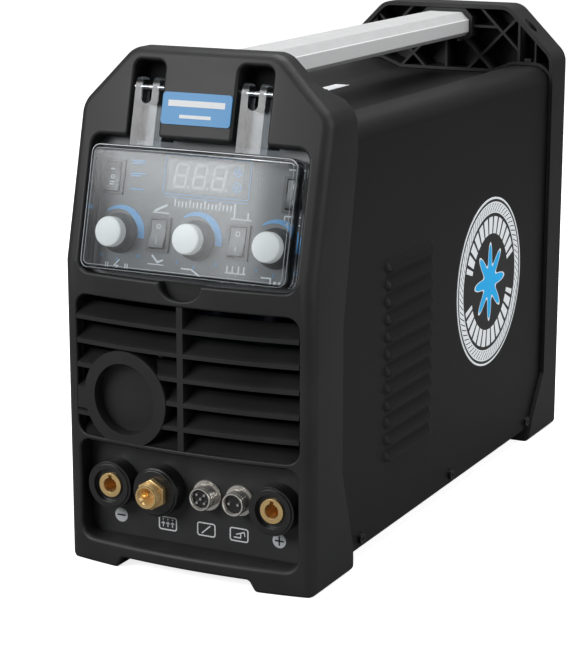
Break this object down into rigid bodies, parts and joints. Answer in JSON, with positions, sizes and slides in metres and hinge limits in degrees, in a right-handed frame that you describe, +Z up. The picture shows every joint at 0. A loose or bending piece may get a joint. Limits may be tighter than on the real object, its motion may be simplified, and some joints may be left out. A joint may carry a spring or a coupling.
{
  "type": "tig welding machine",
  "caption": "Inverter TIG welding machine with a leaned control panel under a clear hinged guard, socket row, louvred case and carrying bar.",
  "frame": {"origin": "centre of the footprint, on the plane of the four feet", "axes": "+X to the right seen from the front, the front faces -Y, +Z up"},
  "size_m": [0.168, 0.427, 0.315],
  "materials": {
    "bezel_plastic": "fine moulded texture",
    "grille_plastic": "fine moulded texture",
    "plate_plastic": "printed satin sheet",
    "badge_blue": "printed plate",
    "clear_guard": "clear moulded polycarbonate",
    "steel_pin": "turned",
    "cover_paint": "satin powder coat",
    "zinc_steel": "zinc plated sheet",
    "anodised_bar": "natural anodised extrusion",
    "screw_black": "black oxide",
    "decal": "printed vinyl",
    "knob_black": "moulded",
    "cap_white": "moulded",
    "pot_metal": "pressed",
    "switch_body": "moulded",
    "switch_button": "moulded",
    "mains_rocker_red": "moulded",
    "display_black": "moulded",
    "window_tint": "tinted acrylic",
    "socket_black": "glass-filled moulding",
    "brass": "turned",
    "nickel": "nickel plated",
    "contact_metal": "silver plated",
    "fan_plastic": "moulded",
    "plated_wire": "plated steel wire",
    "gland_plastic": "nylon",
    "circuit_board": "solder mask",
    "heat_sink_aluminium": "extruded",
    "transformer_core": "ferrite and copper winding",
    "copper_winding": "enamelled copper on a ring core",
    "capacitor_sleeve": "sleeved aluminium can",
    "valve_metal": "coil over a brass body",
    "hose_rubber": "rubber hose"
  },
  "bodies": {
    "machine": {"front_bezel": "bezel_plastic", "rear_bezel": "bezel_plastic", "front_grille": "grille_plastic", "connector_plate": "plate_plastic", "control_panel": "plate_plastic", "badge_plate": "badge_blue", "guard_pins": "steel_pin", "cover": "cover_paint", "rear_panel": "cover_paint", "base_plate": "zinc_steel", "handle_bar": "anodised_bar", "handle_screws": "screw_black", "case_screws": "screw_black", "side_decals": "decal", "current_pot": "pot_metal", "slope_pot": "pot_metal", "gas_pot": "pot_metal", "process_switch_housing": "switch_body", "trigger_switch_housing": "switch_body", "start_switch_housing": "switch_body", "remote_switch_housing": "switch_body", "mains_switch_housing": "switch_body", "display_module": "display_black", "display_window": "window_tint", "negative_socket_body": "socket_black", "positive_socket_body": "socket_black", "gas_outlet_flange": "socket_black", "five_pin_insert": "socket_black", "two_pin_insert": "socket_black", "negative_socket_insert": "brass", "positive_socket_insert": "brass", "gas_outlet_fitting": "brass", "gas_inlet": "brass", "five_pin_shell": "nickel", "two_pin_shell": "nickel", "connector_contacts": "contact_metal", "fan_frame": "fan_plastic", "fan_guard": "plated_wire", "cable_gland": "gland_plastic", "main_board": "circuit_board", "control_board": "circuit_board", "heat_sinks": "heat_sink_aluminium", "power_transformer": "transformer_core", "output_choke": "copper_winding", "capacitor_bank": "capacitor_sleeve", "gas_valve": "valve_metal", "gas_hose": "hose_rubber"},
    "guard": {"guard": "clear_guard"},
    "current_knob": {"current_knob_skirt": "knob_black", "current_knob_cap": "cap_white"},
    "slope_knob": {"slope_knob_skirt": "knob_black", "slope_knob_cap": "cap_white"},
    "gas_knob": {"gas_knob_skirt": "knob_black", "gas_knob_cap": "cap_white"},
    "process_switch": {"process_switch_button": "switch_button"},
    "trigger_switch": {"trigger_switch_button": "switch_button"},
    "start_switch": {"start_switch_button": "switch_button"},
    "remote_switch": {"remote_switch_button": "switch_button"},
    "mains_switch": {"mains_switch_rocker": "mains_rocker_red"},
    "fan": {"fan_rotor": "fan_plastic"}
  },
  "joints": [
    {"name": "guard_hinge", "type": "hinge", "parent": "machine", "child": "guard", "pos_m": [0, -0.17614, 0.2918], "axis": [-1, 0, 0], "range_deg": [0, 110]},
    {"name": "current_knob_turn", "type": "hinge", "parent": "machine", "child": "current_knob", "pos_m": [-0.0525, -0.18668, 0.20486], "axis": [0, -0.9703, 0.2419], "range_deg": [-135, 135]},
    {"name": "slope_knob_turn", "type": "hinge", "parent": "machine", "child": "slope_knob", "pos_m": [0, -0.18668, 0.20486], "axis": [0, -0.9703, 0.2419], "range_deg": [-135, 135]},
    {"name": "gas_knob_turn", "type": "hinge", "parent": "machine", "child": "gas_knob", "pos_m": [0.0525, -0.18668, 0.20486], "axis": [0, -0.9703, 0.2419], "range_deg": [-135, 135]},
    {"name": "process_switch_rock", "type": "hinge", "parent": "machine", "child": "process_switch", "pos_m": [-0.0254, -0.18666, 0.2062], "axis": [1, 0, 0], "range_deg": [0, 16]},
    {"name": "trigger_switch_rock", "type": "hinge", "parent": "machine", "child": "trigger_switch", "pos_m": [0.0277, -0.18666, 0.2062], "axis": [1, 0, 0], "range_deg": [0, 16]},
    {"name": "start_switch_rock", "type": "hinge", "parent": "machine", "child": "start_switch", "pos_m": [-0.0605, -0.17897, 0.23705], "axis": [1, 0, 0], "range_deg": [-8, 8]},
    {"name": "remote_switch_rock", "type": "hinge", "parent": "machine", "child": "remote_switch", "pos_m": [0.0613, -0.17935, 0.2355], "axis": [1, 0, 0], "range_deg": [0, 16]},
    {"name": "mains_switch_rock", "type": "hinge", "parent": "machine", "child": "mains_switch", "pos_m": [0.042, 0.19833, 0.07], "axis": [-1, 0, 0], "range_deg": [0, 14]},
    {"name": "fan_spin", "type": "hinge", "parent": "machine", "child": "fan", "pos_m": [0, 0.17953, 0.168], "axis": [0, 1, 0], "continuous": true}
  ]
}
